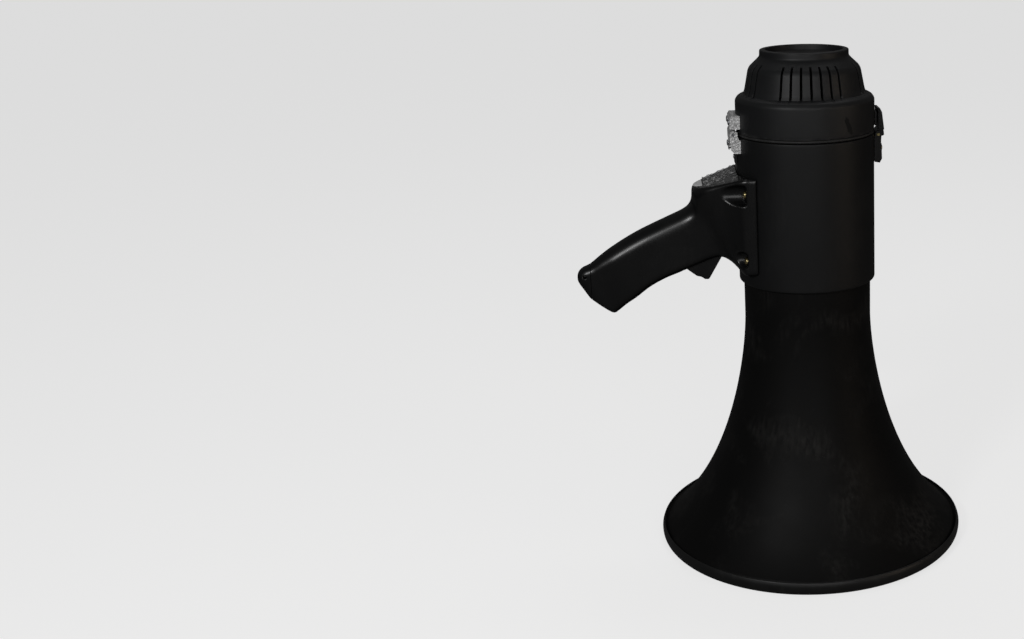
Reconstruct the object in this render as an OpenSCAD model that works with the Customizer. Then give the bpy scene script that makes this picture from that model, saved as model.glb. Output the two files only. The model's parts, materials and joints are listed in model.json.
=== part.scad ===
// Handheld megaphone: bell forward and down (-Z), microphone end up (+Z), pistol grip along -X.
// The bell's mouth rests on z = 0.

/* [Bell] */
// Outer radius of the mouth, over the rubber rim
mouth_r = 115; // [105:1:125]
// Outer radius of the bell's neck
neck_r = 46.4; // [45:0.2:46.6]
// Height at which the neck starts to flare
neck_z = 176; // [165:1:182]
// Height of the flat end wall inside the neck
end_z = 197; // [190:1:199]
// Wall thickness of the bell
bell_wall = 2.8; // [2:0.1:3.2]

/* [Reflector] */
// Height of the reflector's closed front face
nose_z = 9; // [6:1:40]
// Radius of the reflector's front ring
nose_r = 17.1; // [15:0.1:18]
// Radius of the reflector's open rear edge
reflector_r = 24.4; // [22:0.1:25]
// Number of ribs along the reflector
rib_count = 5; // [3:1:8]

/* [Body] */
// Outer radius at the body's lower end
body_r = 49.7; // [49.4:0.1:50]
// Outer radius at the body's upper end
body_top_r = 49.2; // [48.9:0.1:49.3]
// Height of the body's lower end
body_z0 = 203; // [201:1:206]
// Height of the body's upper end
body_z1 = 308.5; // [307:0.5:309]

/* [Rear cap] */
// Outer radius of the cap's skirt
cap_r = 49.5; // [49.1:0.1:49.6]
// Height of the top of the microphone collar
cap_top = 368; // [366:0.5:370]
// Groups of vent slots round the cap
vent_groups = 4; // [2:1:4]
// Slots in each group
vent_slots = 7; // [3:1:7]
// Angle from slot to slot, in degrees
vent_pitch = 9.7; // [8:0.1:10]
// Width of a slot
vent_w = 1.9; // [1.2:0.1:2.2]

/* [Batteries] */
// Radius of one cell
cell_r = 12.9; // [12:0.1:13]
// Length of one cell
cell_l = 49; // [46:0.5:49]
// Number of cells in the ring
cells = 6; // [4:1:6]

/* [Grip] */
// Half width of the grip at its middle
grip_w = 11.3; // [10.5:0.1:12]
// Wall thickness of the grip halves
grip_wall = 2.4; // [1.8:0.1:2.8]
// Half width of the saddle where it meets the body
saddle_w = 32.5; // [31:0.5:34]

/* [Hidden] */

black = "#17181a";
soft_black = "#1d1e20";
steel = "#a9adb0";
brass = "#c2a763";
$fn = 96;

bell_z = 8.3;
bell_edge_r = mouth_r - 2.4;
neck_top = 222;
hinge_x = -52.2;
hinge_z = 311;
latch_x = 51.7;
latch_z = 306.8;
cell_ring_r = 27;
cell_z = 252.5;
tray_z = 246;
trigger_x = -64.5;
trigger_z = 227;
panel_slope = 15;
panel_pt = [-50, 281.6];
grip_dir = 115.2;
grip_screw_at = [[-140, 204], [-104, 236]];

function bezier(a, b, c, d, n) = [for (i = [0:n]) let (t = i / n, s = 1 - t)
    s * s * s * a + 3 * s * s * t * b + 3 * s * t * t * c + t * t * t * d];
function arc(cx, cy, r, a0, a1, n) = [for (i = [0:n]) let (a = a0 + (a1 - a0) * i / n)
    [cx + r * cos(a), cy + r * sin(a)]];
function turned(n, start) = [for (i = [0:n - 1]) start + 360 * i / n];

module ring(r_out, r_in, z0, z1) {
    translate([0, 0, z0])
        difference() {
            cylinder(r = r_out, h = z1 - z0);
            translate([0, 0, -1])
                cylinder(r = r_in, h = z1 - z0 + 2);
        }
}

// A stud along +Z with a domed head on top, standing on z = 0 of the head.
module pan_screw(head_r, head_h, shank_r, shank_l) {
    rotate_extrude()
        polygon(concat(
            [[0, -shank_l], [shank_r, -shank_l], [shank_r, 0], [head_r, 0]],
            arc(head_r - head_h * 0.9, head_h * 0.1, head_h * 0.9, 0, 90, 5),
            [[0, head_h]]));
}

// ---- Bell and reflector ----

flare_out = bezier([neck_r, neck_z], [neck_r, neck_z - 25], [bell_edge_r - 56, bell_z + 46],
    [bell_edge_r, bell_z], 26);
flare_in = bezier([bell_edge_r - bell_wall * 0.63, bell_z - bell_wall * 0.77],
    [bell_edge_r - 58.5, bell_z + 43.5], [neck_r - bell_wall, neck_z - 26], [neck_r - bell_wall, neck_z], 26);

module bell() {
    color(black)
        difference() {
            rotate_extrude()
                polygon(concat(
                    [[9, end_z], [36, end_z]],
                    [for (p = arc(36, neck_z + 14.2, neck_r - bell_wall - 36, 90, 0, 6)) [p[0], p[1]]],
                    [for (i = [26:-1:0]) flare_in[i]],
                    [for (i = [26:-1:0]) flare_out[i]],
                    [[neck_r, neck_top], [neck_r - 3, neck_top], [neck_r - 3, end_z + 3.2], [9, end_z + 3.2]]));
            for (a = turned(3, 0))
                rotate(a)
                    translate([31, 0, end_z - 1])
                        cylinder(r = 1.7, h = 6, $fn = 24);
        }
    color(black)
        for (a = turned(4, 45))
            rotate(a)
                translate([39.9, 0, 210])
                    difference() {
                        cylinder(r = neck_r - 42.4, h = neck_top - 210, $fn = 32);
                        translate([0, 0, 3])
                            cylinder(r = 1.3, h = 12, $fn = 24);
                    }
}

ridges = 6;
ridge_steps = 6;
module bell_rim() {
    inner_r = mouth_r - 10.6;
    ridge_w = 8 / ridges;
    color(soft_black)
        difference() {
            rotate_extrude($fn = 160)
                polygon(concat(
                    [[inner_r, 12], [inner_r - 0.4, 8]],
                    [for (i = [0:ridges * ridge_steps]) let (u = i / ridge_steps)
                        [inner_r + u * ridge_w, 5.6 - 5.6 * sin(90 * u / ridges) + 0.35 * (1 - cos(360 * u))]],
                    [[mouth_r - 1.8, 0]],
                    arc(mouth_r - 2.6, 2.8, 2.6, -60, 0, 5),
                    [[mouth_r, 9.6], [mouth_r - 0.6, 11], [mouth_r - 1.6, 11], [mouth_r - 2.2, 10.2],
                        [mouth_r - 2.2, bell_z]]));
            rotate_extrude($fn = 160)
                polygon(concat(
                    [[mouth_r - 20, 40]],
                    [for (i = [18:-1:0]) flare_in[i] + [-0.05, -0.05]],
                    [[bell_edge_r + 0.05, bell_z - 0.1], [mouth_r - 2.15, bell_z], [mouth_r - 2.15, 9],
                        [mouth_r - 6, 14], [mouth_r - 10, 40]]));
        }
}

module reflector() {
    color(soft_black) {
        rotate_extrude()
            polygon([[0, nose_z + 2.5], [15, nose_z + 2.5], [15, nose_z], [nose_r - 0.6, nose_z],
                [nose_r, nose_z + 0.6], [nose_r, nose_z + 5], [20.4, nose_z + 7.5], [20.4, nose_z + 10],
                [22.9, nose_z + 14], [reflector_r, 178], [reflector_r - 2, 178], [20.9, nose_z + 17],
                [18, nose_z + 12], [12, nose_z + 8], [4, nose_z + 6], [0, nose_z + 5.5]]);
        for (a = turned(rib_count, 0))
            rotate(a)
                rotate([90, 0, 0])
                    linear_extrude(2.3, center = true)
                        polygon([[nose_r - 1, nose_z + 2], [nose_r + 3, nose_z + 2.6], [25, nose_z + 6],
                            [25.6, nose_z + 9], [28, 178], [28, end_z - 2], [23.6, end_z - 2],
                            [23.6, 177], [22, 176], [21.5, nose_z + 20], [19, nose_z + 8]]);
        difference() {
            ring(35, 23.5, end_z - 2.2, end_z - 0.1);
            for (a = turned(3, 0))
                rotate(a)
                    translate([31, 0, end_z - 4])
                        cylinder(r = 1.7, h = 6, $fn = 24);
        }
    }
}

module reflector_disc() {
    color("#26282b")
        rotate_extrude()
            polygon([[0, nose_z - 0.2], [14, nose_z - 0.2], [14.4, nose_z + 0.2], [14.4, nose_z + 2.4],
                [0, nose_z + 2.4]]);
}

module throat_tube() {
    color(black)
        rotate_extrude()
            polygon([[8, end_z + 3.2], [9, 150], [11.2, 60], [12.4, 46], [14.4, 46], [13.2, 60], [11, 150],
                [10.6, end_z - 2.2], [22.8, end_z - 2.2], [22.8, end_z - 0.1], [8.9, end_z - 0.1],
                [8.9, end_z + 3.2]]);
}

module reflector_screws() {
    color(steel)
        for (a = turned(3, 0))
            rotate(a)
                translate([31, 0, end_z - 2.25])
                    rotate([180, 0, 0])
                        pan_screw(2.7, 1.8, 1.5, 9, $fn = 32);
}

// ---- Driver ----

module driver_frame() {
    color("#2b2d30")
        difference() {
            rotate_extrude()
                polygon([[8.2, 200.3], [41, 200.3], [41, 206], [24.5, 206], [24.5, 203.6], [8.2, 202.6]]);
            for (a = turned(3, 0))
                rotate(a)
                    translate([31, 0, 195])
                        cylinder(r = 1.5, h = 20, $fn = 24);
        }
}

module driver_diaphragm() {
    color("#5b4a33")
        rotate_extrude()
            polygon(concat(
                [for (a = [0:5:30]) [30 * sin(a), 178.9 + 30 * cos(a) + 0.5]],
                [[24.2, 205.1], [24.2, 204.6], [16, 204.6]],
                [for (a = [30:-5:0]) [30 * sin(a), 178.9 + 30 * cos(a)]]));
}

module voice_coil() {
    color("#b06a36")
        ring(16.2, 15.4, 205.5, 212.5);
}

module driver_top_plate() {
    color(steel)
        ring(34, 17, 206.1, 210.2);
}

module driver_magnet() {
    color("#3a3b3e")
        ring(35, 19, 210.3, 221.9);
}

module driver_pole() {
    color(steel)
        rotate_extrude()
            polygon([[0, 211], [14.6, 211], [14.6, 222], [34, 222], [34, 226], [0, 226]]);
}

// ---- Body shell and electronics ----

saddle_screw_y = 27.4;
saddle_screw_z = [223, 271];

module body_shell() {
    color(black) {
        difference() {
            rotate_extrude()
                polygon([[neck_r + 0.2, body_z0], [body_r - 0.4, body_z0], [body_r, body_z0 + 0.4],
                    [body_top_r, body_z1], [body_top_r - 2.8, body_z1], [46.1, 224.6], [34.4, 224.6],
                    [34.4, 222.1], [neck_r + 0.2, 222.1]]);
            for (y = [-saddle_screw_y, saddle_screw_y])
                for (z = saddle_screw_z)
                    translate([-44, y, z])
                        rotate([0, 90, 0])
                            cylinder(r = 1.5, h = 14, $fn = 24);
            for (a = turned(4, 45))
                rotate(a)
                    translate([39.9, 0, 220])
                        cylinder(r = 1.6, h = 8, $fn = 24);
            translate([-60, 0, 250])
                rotate([0, 90, 0])
                    cylinder(r = 5, h = 20, $fn = 32);
            for (h = [[-56, -8, 302, 1.5], [-56, 8, 302, 1.5], [-56, 0, 293.4, 1], [42, -4.5, 297, 1.3],
                [42, 4.5, 297, 1.3]])
                translate([h[0], h[1], h[2]])
                    rotate([0, 90, 0])
                        cylinder(r = h[3], h = 14, $fn = 24);
        }
        for (a = turned(3, 90))
            rotate(a)
                translate([44.2, 0, 224])
                    cylinder(r = 2.5, h = tray_z - 224.1, $fn = 32);
    }
}

module body_screws() {
    color(steel)
        for (a = turned(4, 45))
            rotate(a)
                translate([39.9, 0, 224.65])
                    pan_screw(2.8, 1.9, 1.25, 10, $fn = 32);
}

module circuit_board() {
    color("#1f5a35")
        difference() {
            translate([0, 0, 238])
                cylinder(r = 40.4, h = 1.6);
            for (a = turned(3, 30))
                rotate(a)
                    translate([37.4, 0, 237])
                        cylinder(r = 1.6, h = 4, $fn = 24);
        }
}

module board_spacers() {
    color(steel)
        for (a = turned(3, 30))
            rotate(a)
                translate([37.4, 0, 0])
                    ring(2.3, 1.3, 224.7, 237.95, $fn = 32);
}

module board_screws() {
    color(steel)
        for (a = turned(3, 30))
            rotate(a)
                translate([37.4, 0, 239.65])
                    pan_screw(2.4, 1.6, 1.2, 8, $fn = 32);
}

module transformer() {
    color("#4b4e52")
        difference() {
            translate([-12, -9, 228.5])
                cube([24, 18, 9.4]);
            translate([-5, -10, 228])
                cube([3, 20, 3]);
            translate([2, -10, 228])
                cube([3, 20, 3]);
        }
    color("#b58b3f")
        translate([-4.8, -11.5, 231.3])
            cube([9.6, 23, 6.4]);
}

module capacitors() {
    color("#24364f")
        for (x = [-11, 0, 11])
            translate([x, 20, 228.2])
                cylinder(r = 4, h = 9.7, $fn = 48);
}

module heat_sink() {
    color(steel)
        difference() {
            translate([-16, -28, 228.4])
                cube([32, 11, 9.5]);
            for (x = [-13:4:13])
                translate([x, -30, 228])
                    cube([2.2, 8, 12]);
        }
}

module battery_tray() {
    color("#222428")
        difference() {
            translate([0, 0, tray_z])
                cylinder(r = 42.6, h = 50);
            for (a = turned(cells, 0))
                rotate(a)
                    translate([cell_ring_r, 0, tray_z + 2.4])
                        cylinder(r = cell_r + 0.25, h = 60);
            translate([0, 0, tray_z - 1])
                cylinder(r = 8, h = 60);
        }
}

module batteries() {
    color("#8d9194")
        for (a = turned(cells, 0))
            rotate(a)
                translate([cell_ring_r, 0, cell_z])
                    rotate_extrude()
                        polygon([[0, 0], [cell_r - 1, 0], [cell_r, 1], [cell_r, cell_l - 2.6],
                            [cell_r - 1, cell_l - 1.6], [3.4, cell_l - 1.6], [3.4, cell_l], [0, cell_l]]);
}

// A coil of stacked rings along +Z, which stands for a wire spring.
module coil(r, wire_r, height, turns) {
    for (i = [0:turns - 1])
        translate([0, 0, wire_r + i * (height - 2 * wire_r) / (turns - 1)])
            rotate_extrude($fn = 48)
                translate([r, 0])
                    circle(r = wire_r, $fn = 16);
    for (a = [0, 180])
        rotate(a)
            translate([r, 0, wire_r])
                cylinder(r = wire_r * 0.7, h = height - 2 * wire_r, $fn = 16);
}

module battery_springs() {
    color(steel)
        for (a = turned(cells, 0))
            rotate(a)
                translate([cell_ring_r, 0, tray_z + 2.45])
                    coil(5, 0.5, 4, 3);
}

module battery_contacts() {
    color(brass)
        for (a = turned(cells / 2, 30))
            rotate(a)
                translate([cell_ring_r * cos(180 / cells), 0, cell_z + cell_l + 0.1])
                    linear_extrude(0.6)
                        difference() {
                            square([11, 2 * cell_ring_r * sin(180 / cells) + 11], center = true);
                            circle(r = 2.5, $fn = 32);
                        }
}

// ---- Rear cap and microphone ----

module rear_cap() {
    color(black) {
        difference() {
            rotate_extrude()
                polygon(concat(
                    [[47, 311.1], [cap_r - 0.5, 311.1], [cap_r, cap_top - 36.4]],
                    arc(cap_r - 3.8, cap_top - 36, 3.8, 0, 72, 6),
                    [[44.4, cap_top - 31.2], [43.1, cap_top - 30], [42.4, cap_top - 28],
                        [39.8, cap_top - 14.2], [38.9, cap_top - 12], [34.4, cap_top - 7.8],
                        [32.4, cap_top - 6], [31.4, cap_top - 4.2], [31.4, cap_top - 0.6],
                        [30.8, cap_top], [27.9, cap_top], [27.2, cap_top - 0.6], [27.2, cap_top - 6.4],
                        [10.4, cap_top - 6.4], [10.4, cap_top - 17], [12.4, cap_top - 17],
                        [12.4, cap_top - 8.8], [32, cap_top - 8.8], [36.9, cap_top - 13.4],
                        [40, cap_top - 30], [41, cap_top - 32.8], [47, cap_top - 36]]));
            for (g = turned(vent_groups, 0))
                for (i = [0:vent_slots - 1])
                    rotate(g + (i - (vent_slots - 1) / 2) * vent_pitch)
                        translate([0, 0, cap_top - 30.6])
                            rotate([90, 0, 0])
                                linear_extrude(vent_w, center = true)
                                    polygon([[35.2, 0], [47, 0], [47, 8], [38, 21.6], [34, 21.6],
                                        [34, 16]]);
            for (y = [-8, 8])
                translate([-56, y, 319.2])
                    rotate([0, 90, 0])
                        cylinder(r = 1.5, h = 14, $fn = 24);
        }
    }
}

module cap_seal() {
    color("#2c2e30")
        rotate_extrude()
            polygon(concat([[46.6, 309.2]], arc(48.5, 310.1, 0.9, -90, 90, 8), [[46.6, 311]]));
}

module mic_cover() {
    color("#202123")
        rotate_extrude()
            polygon([[0, cap_top - 6.3], [27, cap_top - 6.3], [27, cap_top - 4], [22, cap_top - 4.4],
                [10, cap_top - 5], [0, cap_top - 5.1]]);
}

module mic_mount() {
    color("#2a2b2d")
        rotate_extrude()
            polygon([[7.1, cap_top - 8.7], [10.2, cap_top - 8.7], [10.2, cap_top - 17], [5, cap_top - 17],
                [5, cap_top - 15.2], [7.1, cap_top - 15.2]]);
}

module mic_capsule() {
    color(steel)
        translate([0, 0, cap_top - 15.1])
            cylinder(r = 7, h = 6.2);
}

// ---- Hinge ----

module along_y(y0, y1) {
    translate([0, y1, 0])
        rotate([90, 0, 0])
            linear_extrude(y1 - y0)
                children();
}

module hinge_knuckle(y0, y1, web) {
    difference() {
        union() {
            translate([hinge_x, y0, hinge_z])
                rotate([-90, 0, 0])
                    cylinder(r = 2.5, h = y1 - y0, $fn = 48);
            along_y(y0, y1)
                polygon(web);
        }
        translate([hinge_x, y0 - 1, hinge_z])
            rotate([-90, 0, 0])
                cylinder(r = 1.26, h = y1 - y0 + 2, $fn = 48);
    }
}

module hinge_body_leaf() {
    color("#c9cbcc")
        difference() {
            along_y(-12.5, 12.5)
                polygon(concat([[-44, 297.6], [-51.4, 297.6], [-53.8, 299.9], [-54.6, 306]],
                    arc(hinge_x, hinge_z, 2.5, 180, -25, 12), [[-48.9, 307], [-44, 307]]));
            translate([-60, -4.2, 306.5])
                cube([20, 8.4, 10]);
            translate([hinge_x, -13, hinge_z])
                rotate([-90, 0, 0])
                    cylinder(r = 1.26, h = 26, $fn = 48);
            translate([0, 0, 290])
                cylinder(r = body_top_r + 0.22, h = 30, $fn = 360);
            for (y = [-8, 8])
                translate([-56, y, 302])
                    rotate([0, 90, 0])
                        cylinder(r = 1.5, h = 12, $fn = 24);
        }
}

module hinge_cap_leaf() {
    web = [[hinge_x - 1.6, 312.6], [hinge_x - 1.6, 315.4], [-50.2, 315.4], [-50.2, 311]];
    color("#c9cbcc")
        difference() {
            union() {
                along_y(-12.5, 12.5)
                    polygon([[-44, 314.7], [-54, 314.7], [-54.6, 316], [-54.4, 322], [-53.2, 324], [-44, 324]]);
                hinge_knuckle(-4, 4, web);
            }
            translate([0, 0, 305])
                cylinder(r = cap_r + 0.05, h = 25, $fn = 360);
            for (y = [-8, 8])
                translate([-56, y, 319.2])
                    rotate([0, 90, 0])
                        cylinder(r = 1.5, h = 12, $fn = 24);
        }
}

module hinge_pin() {
    color(steel)
        translate([hinge_x, -12.9, hinge_z])
            rotate([-90, 0, 0])
                cylinder(r = 1.2, h = 25.8, $fn = 48);
}

module hinge_screws(z) {
    color(steel)
        for (y = [-8, 8])
            translate([-54.75, y, z])
                rotate([0, -90, 0])
                    pan_screw(2.3, 0.9, 1.4, 7.4, $fn = 32);
}

module hinge_body_screws() {
    hinge_screws(302);
}

module hinge_cap_screws() {
    hinge_screws(319.2);
}

// ---- Latch ----

module latch_base() {
    color(black)
        difference() {
            union() {
                along_y(-8, 8)
                    polygon([[44, 288], [52.8, 286.4], [54.4, 289.4], [54, 300.4], [53, 301.2], [44, 301.2]]);
                for (y = [-8, 5])
                    along_y(y, y + 3)
                        polygon(concat([[44, 300], [53.6, 300]], arc(latch_x, latch_z, 2.4, -20, 180, 8),
                            [[48.8, 305]]));
            }
            translate([0, 0, 285])
                cylinder(r = body_top_r + 0.36, h = 30, $fn = 360);
            translate([latch_x, -9, latch_z])
                rotate([-90, 0, 0])
                    cylinder(r = 1.06, h = 18, $fn = 48);
            for (y = [-4.5, 4.5])
                translate([46, y, 297])
                    rotate([0, 90, 0])
                        cylinder(r = 1.3, h = 12, $fn = 24);
        }
}

module latch_lever() {
    color(soft_black)
        difference() {
            union() {
                along_y(-4.8, 4.8)
                    polygon(concat(arc(latch_x, latch_z, 2.3, 200, 300, 4),
                        [[55.8, 305.4], [56.4, 306], [54.3, 322.6], [52.9, 325.4], [51.5, 325.4],
                            [51.9, 311], [49.9, 309]]));
                for (y = [-8, 4.8])
                    along_y(y, y + 3.2)
                        polygon([[54, 310.2], [55.9, 310.2], [54.3, 322.6], [52.9, 325.4], [51.5, 325.4],
                            [51.9, 311]]);
            }
            translate([latch_x, -9, latch_z])
                rotate([-90, 0, 0])
                    cylinder(r = 1.06, h = 18, $fn = 48);
        }
}

module latch_pin() {
    color(brass)
        translate([latch_x, -8.3, latch_z])
            rotate([-90, 0, 0])
                cylinder(r = 1, h = 16.6, $fn = 48);
}

module latch_rivets() {
    color(brass)
        for (y = [-4.5, 4.5])
            translate([54.3, y, 297])
                rotate([0, 90, 0])
                    pan_screw(2, 0.8, 1.25, 8, $fn = 32);
}

module latch_keeper() {
    color(black)
        difference() {
            along_y(-7, 7)
                polygon([[44, 313], [50.6, 313], [51.1, 320.6], [50.7, 323.2], [44, 323.2]]);
            translate([0, 0, 305])
                cylinder(r = cap_r + 0.02, h = 25, $fn = 360);
        }
}

module strap_plate() {
    color(black)
        difference() {
            along_y(-4, 4)
                polygon([[-44, 288.4], [-50.6, 288.4], [-51, 289.2], [-51, 295.6], [-50.4, 296.4], [-44, 296.4]]);
            translate([0, 0, 280])
                cylinder(r = body_top_r + 0.32, h = 24, $fn = 360);
            translate([-55, 0, 293.4])
                rotate([0, 90, 0])
                    cylinder(r = 1, h = 12, $fn = 24);
        }
}

module strap_rivet() {
    color(steel)
        translate([-51.05, 0, 293.4])
            rotate([0, -90, 0])
                pan_screw(1.7, 0.8, 0.95, 4.5, $fn = 32);
}

// ---- Grip ----

// One cross-section of the grip: its middle, its full height and its half width.
module grip_slice(x, z, h, w, lean) {
    translate([x, 0, z])
        rotate([0, -lean, 0])
            linear_extrude(0.4, center = true)
                polygon([for (a = [0:12:348]) let (c = cos(a), s = sin(a))
                    [h / 2 * sign(c) * pow(abs(c), 0.75), w * sign(s) * pow(abs(s), 0.75)]]);
}

// The grip's hand part, drawn in by t on every side.
module grip_outer(t) {
    hull() {
        grip_slice(-62, 243.6, 50 - 2 * t, grip_w - t, grip_dir);
        grip_slice(-86, 234, 46 - 2 * t, grip_w - t, grip_dir);
    }
    hull() {
        grip_slice(-86, 234, 46 - 2 * t, grip_w - t, grip_dir);
        grip_slice(-103, 227.6, 41.8 - 2 * t, grip_w + 0.2 - t, grip_dir);
    }
    hull() {
        grip_slice(-103, 227.6, 41.8 - 2 * t, grip_w + 0.2 - t, grip_dir);
        grip_slice(-122, 216.8, 44 - 2 * t, grip_w - t, grip_dir);
    }
    hull() {
        grip_slice(-122, 216.8, 44 - 2 * t, grip_w - t, grip_dir);
        grip_slice(-138.5, 209.4, 40 - 2 * t, grip_w - 0.8 - t, grip_dir);
    }
    hull() {
        grip_slice(-138.5, 209.4, 40 - 2 * t, grip_w - 0.8 - t, grip_dir);
        grip_slice(-150.8, 198, 42.5 - 2 * t, 8.6 - t, 126);
        grip_slice(-154.5 + t, 195.4 + t, 26 - 2 * t, 8 - t, 126);
    }
}

module grip_hollow() {
    hull() {
        grip_slice(-68, 240, 38, grip_w - grip_wall, grip_dir);
        grip_slice(-122, 216.8, 44 - 2 * grip_wall, grip_w - grip_wall, grip_dir);
    }
    hull() {
        grip_slice(-122, 216.8, 44 - 2 * grip_wall, grip_w - grip_wall, grip_dir);
        grip_slice(-149, 200, 36, 6, 126);
    }
}

module saddle_outer() {
    intersection() {
        along_y(-40, 40)
            polygon([[-30, 283.1], [-45, 282.9], [-80.6, 273.4], [-82.2, 271.8], [-82.2, 264], [-78, 250],
                [-66, 230], [-53, 217.4], [-51, 216.4], [-30, 216.4]]);
        translate([0, 0, 200])
            linear_extrude(100)
                polygon(concat([[-30, -saddle_w], [-46, -saddle_w], [-70, -20]], arc(-71, 0, 11.2, 252, 108, 8),
                    [[-70, 20], [-46, saddle_w], [-30, saddle_w]]));
    }
}

module saddle_hollow() {
    intersection() {
        along_y(-40, 40)
            polygon([[-30, 277.4], [-50, 276.9], [-79.6, 269.6], [-79.6, 265], [-75.4, 250.5], [-63.6, 231], [-52, 220],
                [-30, 220]]);
        translate([0, 0, 200])
            linear_extrude(100)
                polygon([[-30, -22], [-52, -22], [-68, -15], [-80, -7], [-80, 7], [-68, 15], [-52, 22], [-30, 22]]);
    }
}

module screw_troughs() {
    for (s = [-1, 1]) {
        translate([-78, s * 30.6, 271])
            rotate([0, 90, 0])
                cylinder(r = 7.4, h = 78 - 45.6, $fn = 48);
        translate([-78, s * 29.4, 224.6])
            rotate([0, 90, 0])
                cylinder(r = 5.8, h = 78 - 45.6, $fn = 48);
        for (z = saddle_screw_z)
            translate([-50, s * saddle_screw_y, z])
                rotate([0, 90, 0])
                    cylinder(r = 1.6, h = 20, $fn = 24);
    }
}

module trigger_opening() {
    along_y(-7.4, 7.4)
        polygon([[-92, 204], [-92, 212.5], [-86, 226], [-70, 236], [-57, 234], [-56, 217], [-60, 200]]);
}

module panel_outline(t) {
    translate([0, 0, 260])
        linear_extrude(30)
            polygon([[-50 - t, -26 + t], [-69, -18 + t], [-77 + t, -11 + t], [-77 + t, 11 - t], [-69, 18 - t],
                [-50 - t, 26 - t]]);
}

module panel_slab(lift, thick, t) {
    intersection() {
        panel_outline(t);
        translate([panel_pt[0], 0, panel_pt[1]])
            rotate([0, -panel_slope, 0])
                translate([-40, -40, lift])
                    cube([50, 80, thick]);
    }
}

module grip_bosses() {
    for (p = grip_screw_at)
        translate([p[0], -9.6, p[1]])
            rotate([-90, 0, 0])
                cylinder(r = 3.4, h = 19.2, $fn = 48);
}

module grip_half(s) {
    color(soft_black)
        difference() {
            union() {
                difference() {
                    union() {
                        saddle_outer();
                        grip_outer(0);
                    }
                    saddle_hollow();
                    grip_hollow();
                    panel_outline(2.5);
                }
                grip_bosses();
            }
            screw_troughs();
            trigger_opening();
            panel_slab(-2.2, 6, -0.1);
            cylinder(r = body_r + 0.12, h = 320, $fn = 360);
            translate([-180, s * 30 - 30 - 0.01 * s, 170])
                cube([150, 60, 130]);
            translate([-180, -30, 170])
                cube([22.7, 60, 80]);
            translate([trigger_x, -10.6, trigger_z])
                rotate([-90, 0, 0])
                    cylinder(r = 1.5, h = 21.2, $fn = 32);
            for (p = grip_screw_at)
                translate([p[0], 0, p[1]])
                    rotate([-90, 0, 0]) {
                        translate([0, 0, -7])
                            cylinder(r = 1.25, h = 20, $fn = 32);
                        translate([0, 0, 7.4])
                            cylinder(r = 2.8, h = 10, $fn = 32);
                    }
        }
}

module grip_left() {
    grip_half(1);
}

module grip_right() {
    grip_half(-1);
}

module butt_cap() {
    color(soft_black)
        difference() {
            intersection() {
                hull() {
                    grip_slice(-146, 201, 41, 7.2, 126);
                    grip_slice(-153, 198, 38.5, 7, 126);
                    grip_slice(-154.8, 196.6, 34, 6.6, 126);
                }
                translate([-180, -30, 170])
                    cube([22.5, 60, 80]);
            }
            translate([-161.6, -20, 210.8])
                rotate([-90, 0, 0])
                    cylinder(r = 1.5, h = 40, $fn = 32);
        }
}

module grip_screws() {
    color(steel)
        for (p = grip_screw_at)
            translate([p[0], 7.45, p[1]])
                rotate([-90, 0, 0])
                    pan_screw(2.4, 1.6, 1.2, 13.5, $fn = 32);
}

module saddle_screws() {
    color(brass)
        for (y = [-saddle_screw_y, saddle_screw_y])
            for (z = saddle_screw_z)
                translate([-45.65, y, z])
                    rotate([0, -90, 0])
                        pan_screw(2.9, 2, 1.45, 8, $fn = 32);
}

// ---- Trigger ----

module trigger() {
    color(soft_black)
        difference() {
            along_y(-7, 7)
                polygon(concat([[-88.6, 213.8], [-81.2, 208], [-78, 207.2], [-75.4, 205.4]],
                    arc(-73.6, 207.2, 2, 250, 335, 4),
                    [[-63.4, 220.6], [-60.8, 226]], arc(trigger_x, trigger_z, 4, 0, 120, 5),
                    [[-70, 229], [-74.6, 225.7], [-75.2, 223.5], [-82.6, 223.5], [-83.2, 219.6]]));
            translate([trigger_x, -8, trigger_z])
                rotate([-90, 0, 0])
                    cylinder(r = 1.56, h = 16, $fn = 48);
        }
}

module trigger_pin() {
    color(steel)
        translate([trigger_x, -10.4, trigger_z])
            rotate([-90, 0, 0])
                cylinder(r = 1.5, h = 20.8, $fn = 48);
}

module trigger_spring() {
    color(steel)
        translate([-79, 0, 223.6])
            coil(2.6, 0.4, 7, 5);
}

module trigger_switch() {
    color("#2a3442") {
        translate([-97, -3.2, 224.4])
            cube([13, 6.4, 7]);
        translate([-86, 0, 222.4])
            cylinder(r = 1.2, h = 3, $fn = 24);
    }
}

// ---- Controls ----

wheel_at = [-62, 6.8, 270.2];
switch_at = [-62, -7];

module control_panel() {
    color("#4a4c4f")
        difference() {
            panel_slab(-2.1, 2, 0);
            translate([wheel_at[0] - 9.6, wheel_at[1] - 2.4, 260])
                cube([15.2, 4.8, 30]);
            translate([switch_at[0] - 8.2, switch_at[1] - 1.8, 270])
                cube([11.4, 3.6, 20]);
        }
}

module panel_end() {
    color("#c4c6c7")
        intersection() {
            translate([0, 0, 270])
                linear_extrude(8)
                    polygon(arc(-71, 0, 10.4, 250, 110, 10));
            translate([panel_pt[0], 0, panel_pt[1]])
                rotate([0, -panel_slope, 0])
                    translate([-40, -40, 0.05])
                        cube([50, 80, 0.8]);
            translate([-90, -20, 260])
                cube([15, 40, 30]);
        }
}

module volume_wheel() {
    color("#303236")
        translate(wheel_at)
            rotate([90, 0, 0])
                difference() {
                    cylinder(r = 9, h = 3.4, center = true);
                    for (a = turned(30, 0))
                        rotate(a)
                            translate([9.2, 0, 0])
                                cylinder(r = 0.5, h = 6, center = true, $fn = 16);
                    cylinder(r = 1.55, h = 6, center = true, $fn = 32);
                }
}

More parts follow.
